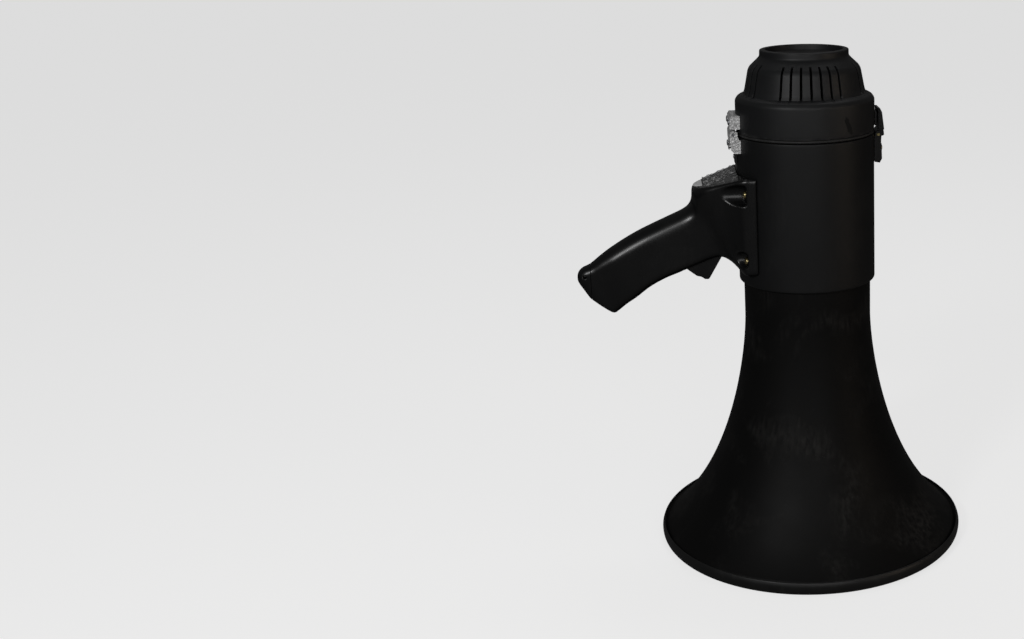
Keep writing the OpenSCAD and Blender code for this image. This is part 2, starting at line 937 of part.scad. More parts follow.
module volume_pot() {
    color("#5c6670") {
        translate([wheel_at[0] - 4, wheel_at[1] - 8.5, wheel_at[2] - 4.5])
            cube([8, 6, 9.4]);
        translate([wheel_at[0], wheel_at[1] + 1.9, wheel_at[2]])
            rotate([90, 0, 0])
                cylinder(r = 1.5, h = 5, $fn = 32);
    }
}

module mode_switch() {
    color("#8a8d90")
        translate([switch_at[0] - 1.6, switch_at[1] - 1.4, 272.6])
            rotate([0, -panel_slope, 0])
                cube([3.4, 2.8, 6.2]);
}

module protective_film() {
    color("#9da0a2", 0.5)
        panel_slab(1.6, 0.3, 1);
}

bell();
bell_rim();
reflector();
reflector_disc();
throat_tube();
reflector_screws();
driver_frame();
driver_diaphragm();
voice_coil();
driver_top_plate();
driver_magnet();
driver_pole();
body_shell();
body_screws();
circuit_board();
board_spacers();
board_screws();
transformer();
capacitors();
heat_sink();
battery_tray();
batteries();
battery_springs();
battery_contacts();
rear_cap();
cap_seal();
mic_cover();
mic_mount();
mic_capsule();
hinge_body_leaf();
hinge_cap_leaf();
hinge_pin();
hinge_body_screws();
hinge_cap_screws();
latch_base();
latch_lever();
latch_pin();
latch_rivets();
latch_keeper();
strap_plate();
strap_rivet();
grip_left();
grip_right();
grip_screws();
saddle_screws();
butt_cap();
trigger();
trigger_pin();
trigger_spring();
trigger_switch();
control_panel();
panel_end();
volume_wheel();
volume_pot();
mode_switch();
protective_film();
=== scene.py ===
"""Handheld megaphone: the looks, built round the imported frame."""

import json
import math

import bmesh
import bpy
from mathutils import Matrix, Vector


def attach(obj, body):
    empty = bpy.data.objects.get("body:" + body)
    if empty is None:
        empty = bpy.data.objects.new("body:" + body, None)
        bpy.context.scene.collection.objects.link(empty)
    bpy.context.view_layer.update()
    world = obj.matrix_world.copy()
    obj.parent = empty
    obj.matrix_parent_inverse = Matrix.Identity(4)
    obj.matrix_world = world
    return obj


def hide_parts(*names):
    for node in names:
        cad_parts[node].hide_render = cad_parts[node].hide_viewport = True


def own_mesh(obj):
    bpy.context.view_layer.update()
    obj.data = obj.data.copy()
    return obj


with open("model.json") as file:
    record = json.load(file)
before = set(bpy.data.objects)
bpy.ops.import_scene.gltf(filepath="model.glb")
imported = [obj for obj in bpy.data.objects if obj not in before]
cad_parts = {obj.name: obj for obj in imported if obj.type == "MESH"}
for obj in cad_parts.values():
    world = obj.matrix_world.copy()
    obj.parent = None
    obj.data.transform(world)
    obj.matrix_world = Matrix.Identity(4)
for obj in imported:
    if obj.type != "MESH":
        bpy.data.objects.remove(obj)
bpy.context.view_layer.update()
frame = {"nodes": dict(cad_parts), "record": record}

MM = 0.001
TURN = 2 * math.pi
scene = bpy.context.scene
SLOT_OF = {s["node"]: s["material_slot"] for s in frame["record"]["subparts"]}
BODY_OF = {n: b for b, ns in frame["record"]["behaviour"]["bodies"].items() for n in ns}

# ---- Camera ----

CAMERA_TURN = math.radians(-6.6)
CAMERA_TILT = math.radians(17.8)
CAMERA_ROLL = math.radians(0.855)
CAMERA_DISTANCE = 0.948
CAMERA_HEIGHT = 0.4724


def make_camera():
    data = bpy.data.cameras.new("studio_camera")
    data.sensor_width = 36
    data.lens = 46.93
    data.shift_x = -0.2889
    data.shift_y = 0.0005
    data.clip_start, data.clip_end = 0.05, 60
    back = Vector((math.sin(CAMERA_TURN), -math.cos(CAMERA_TURN), 0))
    ahead = -back * math.cos(CAMERA_TILT) - Vector((0, 0, math.sin(CAMERA_TILT)))
    right = ahead.cross(Vector((0, 0, 1))).normalized()
    up = right.cross(ahead)
    c, s = math.cos(CAMERA_ROLL), math.sin(CAMERA_ROLL)
    right, up = right * c - up * s, up * c + right * s
    turn = Matrix((right, up, -ahead)).transposed().to_4x4()
    obj = bpy.data.objects.new("studio_camera", data)
    obj.matrix_world = Matrix.Translation(back * CAMERA_DISTANCE + Vector((0, 0, CAMERA_HEIGHT))) @ turn
    scene.collection.objects.link(obj)
    scene.camera = obj


make_camera()

# ---- Node helpers and shared effects ----


def add_node(tree, kind, values=None, **settings):
    """A node with its settings, its input values and its links from other nodes."""
    node = tree.nodes.new("ShaderNode" + kind)
    for key, value in settings.items():
        setattr(node, key, value)
    for key, value in (values or {}).items():
        socket = node.inputs[key]
        if isinstance(value, bpy.types.NodeSocket):
            tree.links.new(value, socket)
        else:
            socket.default_value = value
    return node


def effect_group(name, inputs, outputs):
    tree = bpy.data.node_groups.new(name, "ShaderNodeTree")
    for kind, sockets in (("INPUT", inputs), ("OUTPUT", outputs)):
        for label, (form, value) in sockets.items():
            socket = tree.interface.new_socket(name=label, in_out=kind, socket_type="NodeSocket" + form)
            if value is not None:
                socket.default_value = value
    return tree, tree.nodes.new("NodeGroupInput").outputs, tree.nodes.new("NodeGroupOutput").inputs


def arithmetic(tree, operation, first, second=0.0, clamp=False):
    return add_node(tree, "Math", {0: first, 1: second}, operation=operation, use_clamp=clamp).outputs[0]


def ramp(tree, value, low, high, out_low=0.0, out_high=1.0):
    return add_node(tree, "MapRange", {"Value": value, "From Min": low, "From Max": high,
                                       "To Min": out_low, "To Max": out_high}).outputs[0]


def scaled(tree, vector, factor):
    return add_node(tree, "VectorMath", {0: vector, 1: factor}, operation="MULTIPLY").outputs[0]


def build_moulded_grain():
    """Spark-eroded mould texture; sizes are in millimetres."""
    tree, given, out = effect_group("moulded_grain", {"Place": ("Vector", None), "Size": ("Float", 0.4)},
                                    {"Height": ("Float", None)})
    rate = arithmetic(tree, "DIVIDE", 1.0, given["Size"])
    fine = add_node(tree, "TexNoise", {"Vector": given["Place"], "Scale": rate, "Detail": 3.0,
                                       "Roughness": 0.6}).outputs["Fac"]
    cells = add_node(tree, "TexVoronoi", {"Vector": given["Place"], "Scale": rate},
                     feature="SMOOTH_F1").outputs["Distance"]
    broad = add_node(tree, "TexNoise", {"Vector": given["Place"], "Scale": 0.045,
                                        "Detail": 1.0}).outputs["Fac"]
    tree.links.new(arithmetic(tree, "ADD", arithmetic(tree, "ADD", arithmetic(tree, "MULTIPLY", fine, 0.6),
                                                      arithmetic(tree, "MULTIPLY", cells, 0.4)),
                              arithmetic(tree, "MULTIPLY", broad, 0.8)), out["Height"])
    return tree


def build_tone_drift():
    """Slow drift between two tones of one colour, with a little mottle."""
    tree, given, out = effect_group(
        "tone_drift", {"Place": ("Vector", None), "Size": ("Float", 40.0),
                       "Tone": ("Color", None), "Other Tone": ("Color", None)}, {"Color": ("Color", None)})
    rate = arithmetic(tree, "DIVIDE", 1.0, given["Size"])
    slow = add_node(tree, "TexNoise", {"Vector": given["Place"], "Scale": rate, "Detail": 5.0,
                                       "Roughness": 0.55}).outputs["Fac"]
    share = ramp(tree, slow, 0.35, 0.68)
    mix = add_node(tree, "Mix", {"Factor": share, "A": given["Tone"], "B": given["Other Tone"]},
                   data_type="RGBA")
    tree.links.new(mix.outputs["Result"], out["Color"])
    return tree


def build_dust():
    """Patches of handled dust: broad clouds, broken up by wiped streaks and specks."""
    tree, given, out = effect_group(
        "dust_patches", {"Place": ("Vector", None), "Size": ("Float", 30.0), "Amount": ("Float", 0.5)},
        {"Mask": ("Float", None)})
    rate = arithmetic(tree, "DIVIDE", 1.0, given["Size"])
    cloud = add_node(tree, "TexNoise", {"Vector": given["Place"], "Scale": rate, "Detail": 4.0,
                                        "Distortion": 0.6}).outputs["Fac"]
    wiped = add_node(tree, "TexNoise", {"Vector": scaled(tree, given["Place"], (0.35, 0.35, 0.09)),
                                        "Scale": 1.0, "Detail": 3.0}).outputs["Fac"]
    specks = add_node(tree, "TexVoronoi", {"Vector": given["Place"], "Scale": 0.3,
                                           "Randomness": 1.0}).outputs["Distance"]
    patch = arithmetic(tree, "MULTIPLY", ramp(tree, cloud, 0.52, 0.75), ramp(tree, wiped, 0.35, 0.7))
    dots = ramp(tree, specks, 0.16, 0.05, 0.0, 0.5)
    total = arithmetic(tree, "ADD", patch, arithmetic(tree, "MULTIPLY", dots, ramp(tree, cloud, 0.45, 0.6)))
    tree.links.new(arithmetic(tree, "MULTIPLY", total, given["Amount"], clamp=True), out["Mask"])
    return tree


def build_edge_wear():
    """Rubbed corners: convex edges, broken up so that the wear is patchy."""
    tree, given, out = effect_group("edge_wear", {"Place": ("Vector", None), "Amount": ("Float", 0.5)},
                                    {"Mask": ("Float", None)})
    bend = add_node(tree, "NewGeometry").outputs["Pointiness"]
    patchy = add_node(tree, "TexNoise", {"Vector": given["Place"], "Scale": 0.22, "Detail": 4.0}).outputs["Fac"]
    edge = arithmetic(tree, "MULTIPLY", ramp(tree, bend, 0.53, 0.62), ramp(tree, patchy, 0.4, 0.65))
    tree.links.new(arithmetic(tree, "MULTIPLY", edge, given["Amount"], clamp=True), out["Mask"])
    return tree


def build_scratches():
    """Sparse hairline scratches in two directions."""
    tree, given, out = effect_group("hairline_scratches", {"Place": ("Vector", None), "Spread": ("Float", 1.0)},
                                    {"Mask": ("Float", None)})
    lines = []
    for stretch in ((0.9, 0.9, 0.02), (0.03, 1.3, 0.8)):
        place = add_node(tree, "VectorMath", {0: scaled(tree, given["Place"], stretch), 3: given["Spread"]},
                         operation="SCALE").outputs[0]
        noise = add_node(tree, "TexNoise", {"Vector": place, "Scale": 1.0, "Detail": 2.0}).outputs["Fac"]
        lines.append(ramp(tree, noise, 0.71, 0.78))
    tree.links.new(arithmetic(tree, "MAXIMUM", lines[0], lines[1]), out["Mask"])
    return tree


def build_cast_skin():
    """Sand-cast zinc: round pimples over a rough skin."""
    tree, given, out = effect_group("cast_skin", {"Place": ("Vector", None)},
                                    {"Height": ("Float", None), "Dirt": ("Float", None)})
    pimples = add_node(tree, "TexVoronoi", {"Vector": given["Place"], "Scale": 0.42,
                                            "Randomness": 0.55}).outputs["Distance"]
    rough = add_node(tree, "TexNoise", {"Vector": given["Place"], "Scale": 1.6, "Detail": 5.0,
                                        "Roughness": 0.7}).outputs["Fac"]
    dots = ramp(tree, pimples, 0.42, 0.2)
    tree.links.new(arithmetic(tree, "ADD", arithmetic(tree, "MULTIPLY", dots, 0.8), rough), out["Height"])
    shade = arithmetic(tree, "MULTIPLY", ramp(tree, rough, 0.55, 0.38), ramp(tree, pimples, 0.2, 0.5))
    tree.links.new(shade, out["Dirt"])
    return tree


def build_weave():
    """Plain-weave acoustic cloth."""
    tree, given, out = effect_group("cloth_weave", {"Place": ("Vector", None), "Pitch": ("Float", 0.8)},
                                    {"Height": ("Float", None)})
    rate = arithmetic(tree, "DIVIDE", 0.5, given["Pitch"])
    place = add_node(tree, "VectorMath", {0: given["Place"], 3: rate}, operation="SCALE").outputs[0]
    threads = [add_node(tree, "TexWave", {"Vector": place, "Scale": 1.0, "Distortion": 0.3},
                        bands_direction=way).outputs["Fac"] for way in ("X", "Y")]
    tree.links.new(arithmetic(tree, "MULTIPLY", threads[0], threads[1]), out["Height"])
    return tree


EFFECTS = {"grain": build_moulded_grain(), "drift": build_tone_drift(), "dust": build_dust(),
           "wear": build_edge_wear(), "scratches": build_scratches(), "cast": build_cast_skin(),
           "weave": build_weave()}


def grey(value, tint=(1.0, 1.0, 1.0)):
    return (value * tint[0], value * tint[1], value * tint[2], 1.0)


COOL = (0.95, 0.99, 1.08)
DUST_TONE = grey(0.055, (1.04, 1.0, 0.95))


def make_finish(name, tone, other, rough, grain=0.35, depth=0.03, metallic=0.0, specular=0.5, dust=0.0,
                dust_size=30.0, dust_tone=DUST_TONE, wear=0.0, wear_tone=(0.06, 0.06, 0.06, 1), scratch=0.0,
                skin="grain", drift_size=40.0, coat=0.0, anisotropic=0.0, extra=None):
    """A finish from the shared effects. Lengths are in millimetres, colours are linear."""
    material = bpy.data.materials.new(name)
    material.use_nodes = True
    tree = material.node_tree
    tree.nodes.clear()
    place = scaled(tree, add_node(tree, "TexCoord").outputs["Object"], (1000, 1000, 1000))

    def effect(kind, **values):
        node = tree.nodes.new("ShaderNodeGroup")
        node.node_tree = EFFECTS[kind]
        tree.links.new(place, node.inputs["Place"])
        for key, value in values.items():
            node.inputs[key.replace("_", " ")].default_value = value
        return node.outputs

    def mixed(share, first, second):
        return add_node(tree, "Mix", {"Factor": share, "A": first, "B": second},
                        data_type="RGBA").outputs["Result"]

    colour = effect("drift", Size=drift_size, Tone=tone, Other_Tone=other)["Color"]
    skin_out = effect("cast") if skin == "cast" else (
        effect("weave", Pitch=grain) if skin == "weave" else effect("grain", Size=grain))
    height = skin_out["Height"]
    roughness = ramp(tree, height, 0.2, 1.3, rough[0], rough[1])
    if skin == "cast":
        colour = mixed(skin_out["Dirt"], colour, (0.16, 0.155, 0.15, 1))
    if dust:
        mask = effect("dust", Size=dust_size, Amount=dust)["Mask"]
        colour = mixed(mask, colour, dust_tone)
        roughness = arithmetic(tree, "ADD", roughness, arithmetic(tree, "MULTIPLY", mask, 0.2), clamp=True)
    if wear:
        mask = effect("wear", Amount=wear)["Mask"]
        colour = mixed(mask, colour, wear_tone)
    if scratch:
        lines = effect("scratches", Spread=1.0)["Mask"]
        colour = mixed(arithmetic(tree, "MULTIPLY", lines, scratch), colour, wear_tone)
        roughness = arithmetic(tree, "SUBTRACT", roughness, arithmetic(tree, "MULTIPLY", lines, 0.15), clamp=True)
    if extra:
        colour, roughness = extra(tree, place, colour, roughness, mixed)
    bump = add_node(tree, "Bump", {"Height": height, "Strength": 1.0, "Distance": depth * MM}).outputs["Normal"]
    shader = add_node(tree, "BsdfPrincipled", {
        "Base Color": colour, "Roughness": roughness, "Normal": bump, "Metallic": metallic,
        "Specular IOR Level": specular, "Coat Weight": coat, "Coat Roughness": 0.3, "Anisotropic": anisotropic})
    output = add_node(tree, "OutputMaterial")
    tree.links.new(shader.outputs["BSDF"], output.inputs["Surface"])
    return material


def rub_mark(tree, place, colour, roughness, mixed):
    """A short dark rub mark, slanting down the cap's skirt."""
    wander = add_node(tree, "TexNoise", {"Vector": place, "Scale": 0.3, "Detail": 3.0}).outputs["Color"]
    bent = add_node(tree, "VectorMath", {0: scaled(tree, wander, (3.0, 3.0, 3.0)), 1: place},
                    operation="ADD").outputs[0]
    apart = add_node(tree, "VectorMath", {0: bent, 1: (26.8, -41.0, 320.4)}, operation="SUBTRACT").outputs[0]
    leaned = add_node(tree, "VectorRotate", {"Vector": apart, "Axis": (0.5, -0.86, 0), "Angle": -0.4},
                      rotation_type="AXIS_ANGLE").outputs[0]
    far = add_node(tree, "VectorMath", {0: scaled(tree, leaned, (1.0, 0.5, 0.24))},
                   operation="LENGTH").outputs["Value"]
    mark = ramp(tree, far, 1.9, 1.5)
    rougher = arithmetic(tree, "ADD", roughness, arithmetic(tree, "MULTIPLY", mark, 0.3), clamp=True)
    return mixed(mark, colour, grey(0.0012)), rougher


def make_materials():
    made = {}
    made["shell_plastic"] = make_finish(
        "matte_black_shell", grey(0.005, COOL), grey(0.0064, COOL), (0.42, 0.56), grain=0.4, depth=0.03,
        specular=0.34, dust=0.12, dust_size=46.0, wear=0.5, wear_tone=grey(0.03), scratch=0.05, drift_size=70.0)
    # The cap's base tones, lighter than the shell's, are painted light: they stand in for the light that falls on the
    # raised cap from above.
    made["cap_plastic"] = make_finish(
        "satin_black_cap_painted_light", grey(0.0085, COOL), grey(0.0105, COOL), (0.42, 0.54), grain=0.35, depth=0.03,
        specular=0.4, dust=0.12, dust_size=30.0, wear=0.6, wear_tone=grey(0.04), scratch=0.05, drift_size=50.0,
        extra=rub_mark)
    made["bell_plastic"] = make_finish(
        "dusty_black_bell", grey(0.0036, (1.03, 1.0, 0.99)), grey(0.005, (1.02, 1.0, 0.98)), (0.45, 0.6), grain=0.45,
        depth=0.03, specular=0.14, dust=0.42, dust_size=52.0, wear=0.3, wear_tone=grey(0.03), scratch=0.12,
        drift_size=60.0)
    made["grip_plastic"] = make_finish(
        "satin_black_grip", grey(0.003, COOL), grey(0.004, COOL), (0.23, 0.33), grain=0.3, depth=0.018,
        specular=0.5, dust=0.1, dust_size=25.0, wear=0.35, wear_tone=grey(0.035), scratch=0.05, drift_size=36.0)
    made["rim_rubber"] = make_finish(
        "satin_rim_rubber", grey(0.008), grey(0.0105), (0.34, 0.5), grain=0.6, depth=0.03, specular=0.45,
        dust=0.35, dust_size=18.0, wear=0.5, wear_tone=grey(0.035), drift_size=22.0)
    made["nose_plastic"] = make_finish(
        "dark_grey_reflector", grey(0.014, COOL), grey(0.019, COOL), (0.34, 0.48), grain=0.3, depth=0.02,
        specular=0.45, dust=0.2, dust_size=12.0, wear=0.6, wear_tone=grey(0.05), drift_size=18.0)
    made["cast_metal"] = make_finish(
        "cast_zinc", grey(0.86), grey(0.96), (0.34, 0.6), depth=0.26, metallic=0.5, skin="cast",
        wear=0.6, wear_tone=grey(0.85), drift_size=8.0)
    made["steel"] = make_finish(
        "zinc_plated_steel", grey(0.5, COOL), grey(0.62), (0.2, 0.36), grain=0.5, depth=0.006, metallic=1.0,
        scratch=0.3, wear_tone=grey(0.75), drift_size=6.0, anisotropic=0.3)
    made["brass"] = make_finish(
        "yellow_passivated_steel", (0.5, 0.42, 0.2, 1), (0.62, 0.5, 0.26, 1), (0.2, 0.36), grain=0.5, depth=0.006,
        metallic=1.0, scratch=0.3, wear_tone=(0.75, 0.7, 0.55, 1), drift_size=4.0)
    made["panel_plastic"] = make_finish(
        "dark_grey_panel", grey(0.075), grey(0.095), (0.4, 0.52), grain=0.35, depth=0.02, dust=0.2, dust_size=9.0,
        dust_tone=grey(0.2), drift_size=14.0)
    made["panel_end_plastic"] = make_finish(
        "light_grey_end", grey(0.7), grey(0.8), (0.4, 0.5), grain=0.4, depth=0.015, dust=0.25, dust_size=5.0,
        dust_tone=grey(0.3), drift_size=8.0)
    made["magnet"] = make_finish("grey_ferrite", grey(0.03), grey(0.045), (0.5, 0.65), grain=0.5, depth=0.05)
    made["cone"] = make_finish("resin_cone", (0.16, 0.1, 0.05, 1), (0.2, 0.13, 0.07, 1), (0.4, 0.6), grain=0.8,
                               depth=0.06, skin="weave")
    made["copper"] = make_finish("enamelled_winding", (0.5, 0.18, 0.08, 1), (0.6, 0.24, 0.1, 1), (0.2, 0.3),
                                 grain=0.4, metallic=0.9)
    made["board"] = make_finish("solder_mask", (0.01, 0.06, 0.025, 1), (0.015, 0.08, 0.03, 1), (0.25, 0.4),
                                grain=0.6, depth=0.01, drift_size=10.0, dust=0.2, dust_size=8.0)
    made["component"] = make_finish("component_black", grey(0.014, COOL), grey(0.02, COOL), (0.4, 0.52), grain=0.3,
                                    depth=0.02, dust=0.25, dust_size=9.0, wear=0.5, wear_tone=grey(0.06))
    made["sheet_metal"] = make_finish("plain_sheet_metal", grey(0.5), grey(0.6), (0.26, 0.44), grain=0.6,
                                      depth=0.01, metallic=1.0, scratch=0.3, wear_tone=grey(0.75), drift_size=9.0)
    made["cell"] = make_finish("wrapped_cell", (0.2, 0.22, 0.24, 1), (0.26, 0.28, 0.3, 1), (0.24, 0.36), grain=1.2,
                               depth=0.02, metallic=0.2, scratch=0.2, wear_tone=grey(0.5), drift_size=12.0,
                               coat=0.4)
    made["gasket"] = make_finish("soft_gasket", grey(0.02), grey(0.028), (0.5, 0.62), grain=0.5, depth=0.02,
                                 dust=0.5, dust_size=6.0, dust_tone=grey(0.1), specular=0.4, drift_size=9.0)
    made["mic_cloth"] = make_finish("acoustic_cloth", grey(0.012), grey(0.018), (0.7, 0.9), grain=0.9, depth=0.25,
                                    skin="weave", specular=0.2, dust=0.3, dust_size=7.0, drift_size=10.0)
    return made


def make_film():
    """Thin clear wrinkled film: mostly see-through, with milky creases."""
    material = bpy.data.materials.new("clear_wrinkled_film")
    material.use_nodes = True
    tree = material.node_tree
    tree.nodes.clear()
    place = scaled(tree, add_node(tree, "TexCoord").outputs["Object"], (1000, 1000, 1000))
    folds = add_node(tree, "TexNoise", {"Vector": scaled(tree, place, (0.05, 0.14, 0.11)), "Scale": 1.0,
                                        "Detail": 2.0, "Distortion": 1.2}).outputs["Fac"]
    milky = ramp(tree, arithmetic(tree, "ABSOLUTE", arithmetic(tree, "SUBTRACT", folds, 0.5)), 0.022, 0.0)
    colour = add_node(tree, "Mix", {"Factor": milky, "A": grey(0.16), "B": grey(0.6)},
                      data_type="RGBA").outputs["Result"]
    alpha = ramp(tree, milky, 0.0, 1.0, 0.3, 0.75)
    bump = add_node(tree, "Bump", {"Height": folds, "Strength": 1.0, "Distance": 0.5 * MM}).outputs["Normal"]
    roughness = ramp(tree, folds, 0.3, 0.7, 0.12, 0.3)
    shader = add_node(tree, "BsdfPrincipled", {"Base Color": colour, "Roughness": roughness, "Alpha": alpha,
                                               "Normal": bump, "Specular IOR Level": 0.6})
    output = add_node(tree, "OutputMaterial")
    tree.links.new(shader.outputs["BSDF"], output.inputs["Surface"])
    return material


FINISH = make_materials()
FINISH["film"] = make_film()

# ---- Shape helpers ----


def loose_object(name, bm):
    mesh = bpy.data.meshes.new(name)
    bm.to_mesh(mesh)
    bm.free()
    obj = bpy.data.objects.new(name, mesh)
    scene.collection.objects.link(obj)
    return obj


def discard(*objects):
    for obj in objects:
        bpy.data.objects.remove(obj)


def finished(obj, node, finish, *others, smooth=True):
    """Puts a finished piece on the body of the CAD node that it stands for."""
    obj.data.materials.clear()
    obj.data.materials.append(FINISH[finish])
    for face in obj.data.polygons:
        face.use_smooth = smooth
    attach(obj, BODY_OF[node])
    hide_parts(node, *others)
    return obj


def soften(obj, width, segments=2, angle=32):
    """Rounds the hard edges and keeps the flat faces flat."""
    bevel = obj.modifiers.new("rounded_edges", "BEVEL")
    bevel.width = width * MM
    bevel.segments = segments
    bevel.limit_method = "ANGLE"
    bevel.angle_limit = math.radians(angle)
    bevel.harden_normals = False
    weighted = obj.modifiers.new("flat_faces", "WEIGHTED_NORMAL")
    weighted.keep_sharp = False
    weighted.weight = 80
    return obj


def fillet(points, segments=4):
    """Profile points (r, z) or (r, z, radius); a radius rounds that corner."""
    out = []
    for i, point in enumerate(points):
        here = Vector(point[:2])
        if len(point) < 3:
            out.append(here)
            continue
        before, after = Vector(points[i - 1][:2]), Vector(points[(i + 1) % len(points)][:2])
        a, b = (before - here), (after - here)
        reach = min(point[2], a.length * 0.48, b.length * 0.48)
        a, b = here + a.normalized() * reach, here + b.normalized() * reach
        for k in range(segments + 1):
            t = k / segments
            out.append((1 - t) ** 2 * a + 2 * t * (1 - t) * here + t * t * b)
    return out


def bezier(a, b, c, d, count):
    a, b, c, d = map(Vector, (a, b, c, d))
    return [((1 - t) ** 3 * a + 3 * (1 - t) ** 2 * t * b + 3 * (1 - t) * t * t * c + t ** 3 * d)
            for t in (k / count for k in range(count + 1))]


def spun(profile, steps=180, start=0.0):
    """A closed profile of (r, z) in millimetres, spun about Z. Points on the axis close at a pole."""
    bm = bmesh.new()
    verts = [bm.verts.new((p[0] * MM * math.cos(start), p[0] * MM * math.sin(start), p[1] * MM)) for p in profile]
    edges = [bm.edges.new((a, b)) for a, b in zip(verts, verts[1:] + verts[:1])
             if not (a.co.xy.length < 1e-7 and b.co.xy.length < 1e-7)]
    bmesh.ops.spin(bm, geom=verts + edges, cent=(0, 0, 0), axis=(0, 0, 1), angle=TURN, steps=steps,
                   use_merge=True, use_duplicate=False)
    bmesh.ops.remove_doubles(bm, verts=bm.verts, dist=1e-6)
    bmesh.ops.dissolve_degenerate(bm, edges=bm.edges, dist=1e-7)
    bmesh.ops.recalc_face_normals(bm, faces=bm.faces)
    return bm


def prism(outline, axis, low, high):
    """A flat outline in millimetres pushed along an axis: 'y' takes (x, z) points, 'z' takes (x, y) points."""
    bm = bmesh.new()
    place = (lambda u, v: (u * MM, low * MM, v * MM)) if axis == "y" else (lambda u, v: (u * MM, v * MM, low * MM))
    face = bm.faces.new([bm.verts.new(place(*p)) for p in outline])
    moved = bmesh.ops.extrude_face_region(bm, geom=[face])["geom"]
    along = (0, (high - low) * MM, 0) if axis == "y" else (0, 0, (high - low) * MM)
    bmesh.ops.translate(bm, verts=[v for v in moved if isinstance(v, bmesh.types.BMVert)], vec=along)
    bmesh.ops.recalc_face_normals(bm, faces=bm.faces)
    return bm


def rod(centre, axis, radius, length, segments=48):
    """A round cutter centred on a point."""
    bm = bmesh.new()
    bmesh.ops.create_cone(bm, cap_ends=True, segments=segments, radius1=radius * MM, radius2=radius * MM,
                          depth=length * MM)
    turn = Vector((0, 0, 1)).rotation_difference(Vector(axis)).to_matrix()
    bmesh.ops.rotate(bm, verts=bm.verts, matrix=turn)
    bmesh.ops.translate(bm, verts=bm.verts, vec=Vector(centre) * MM)
    return bm


def carve(obj, cutters, solver="EXACT"):
    """Cuts the shapes out of an object and makes the result its mesh."""
    tools = [loose_object("cutter", bm) for bm in cutters]
    for tool in tools:
        cut = obj.modifiers.new("cut", "BOOLEAN")
        cut.operation = "DIFFERENCE"
        cut.solver = solver
        cut.object = tool
    bake_modifiers(obj)
    discard(*tools)
    return obj


def bake_modifiers(obj):
    graph = bpy.context.evaluated_depsgraph_get()
    mesh = bpy.data.meshes.new_from_object(obj.evaluated_get(graph))
    obj.modifiers.clear()
    obj.data = mesh
    return obj


def copy_of_node(node, name):
    """The CAD node's mesh, merged and with its flat faces joined, as the start of a piece."""
    bm = bmesh.new()
    bm.from_mesh(frame["nodes"][node].data)
    bmesh.ops.remove_doubles(bm, verts=bm.verts, dist=2e-6)
    bmesh.ops.dissolve_limit(bm, angle_limit=math.radians(0.5), verts=bm.verts, edges=bm.edges)
    return loose_object(name, bm)


def softened_node(node, name, width, finish=None, segments=2, angle=32):
    return finished(soften(copy_of_node(node, name), width, segments, angle), node, finish or SLOT_OF[node])


# ---- Bell, rim and reflector ----

MOUTH_R = 115.0
NECK_R = 46.4
NECK_Z = 176.0
END_Z = 197.0
BELL_WALL = 2.8
BELL_EDGE = (112.6, 8.3)
POST_CIRCLE_R = 39.9


def make_bell():
    inner = bezier((BELL_EDGE[0] - 1.8, BELL_EDGE[1] - 2.1), (BELL_EDGE[0] - 58.5, BELL_EDGE[1] + 43.5),
                   (NECK_R - BELL_WALL, NECK_Z - 26), (NECK_R - BELL_WALL, NECK_Z), 72)
    outer = bezier((NECK_R, NECK_Z), (NECK_R, NECK_Z - 25), (BELL_EDGE[0] - 56, BELL_EDGE[1] + 46), BELL_EDGE, 72)
    throat = [(NECK_R - BELL_WALL, END_Z, 6.6), (9, END_Z), (9, END_Z + 3.2), (NECK_R - 3, END_Z + 3.2),
              (NECK_R - 3, 222), (NECK_R, 222, 0.6), (NECK_R, 201), (NECK_R, 189)]
    profile = list(inner) + list(fillet([(NECK_R - BELL_WALL, NECK_Z + 6)] + throat, 6)[1:]) + list(outer)
    bm = spun(profile, 192)
    for k in range(4):
        angle = TURN * (k + 0.5) / 4
        centre = (POST_CIRCLE_R * math.cos(angle), POST_CIRCLE_R * math.sin(angle), 216)
        post = loose_object("screw_post", rod(centre, (0, 0, 1), 4, 12, 40))
        bm.from_mesh(post.data)
        discard(post)
    bell = loose_object("bell_horn", bm)
    finished(bell, "bell", "bell_plastic")


def make_rim():
    """The rubber bumper: a rolled outside, six ridges underneath and a lip on the bell's wall."""
    inner_r, ridge = MOUTH_R - 10.6, 5.4 / 6
    ridges = []
    for k in range(6 * 10 + 1):
        u = k / 10
        ridges.append((inner_r + u * ridge, 5.5 - 5.4 * math.sin(math.pi / 2 * u / 6)
                       + 0.42 * (1 - abs(math.sin(math.pi * u)) ** 0.7)))
    wall = bezier((BELL_EDGE[0] - 1.8, BELL_EDGE[1] - 2.1), (BELL_EDGE[0] - 58.5, BELL_EDGE[1] + 43.5),
                  (NECK_R - BELL_WALL, NECK_Z - 26), (NECK_R - BELL_WALL, NECK_Z), 72)[:12]
    seat = [(p[0] - 0.05, p[1] - 0.05) for p in reversed(wall) if p[0] > inner_r + 0.6]
    profile = ([(inner_r, 9.6), (inner_r - 0.4, 8)] + ridges
               + fillet([(110.2, 0.08), (112.7, 0.9, 1.4), (114.5, 3.0, 1.6), (MOUTH_R, 5.6, 1.6),
                         (MOUTH_R, 8.2, 1.2), (114.1, 10.6, 0.8),
                         (113.2, 10.9, 0.4), (112.7, 9.6), (112.75, 8.4)], 6) + seat)
    finished(loose_object("rim_bumper", spun(profile, 220)), "bell_rim", "rim_rubber")


def make_reflector():
    softened_node("reflector", "reflector_bullet", 0.35, "nose_plastic")
    softened_node("reflector_disc", "reflector_badge_disc", 0.25, "nose_plastic")
    softened_node("throat_tube", "throat_horn", 0.3, "shell_plastic")


# ---- Body and rear cap ----


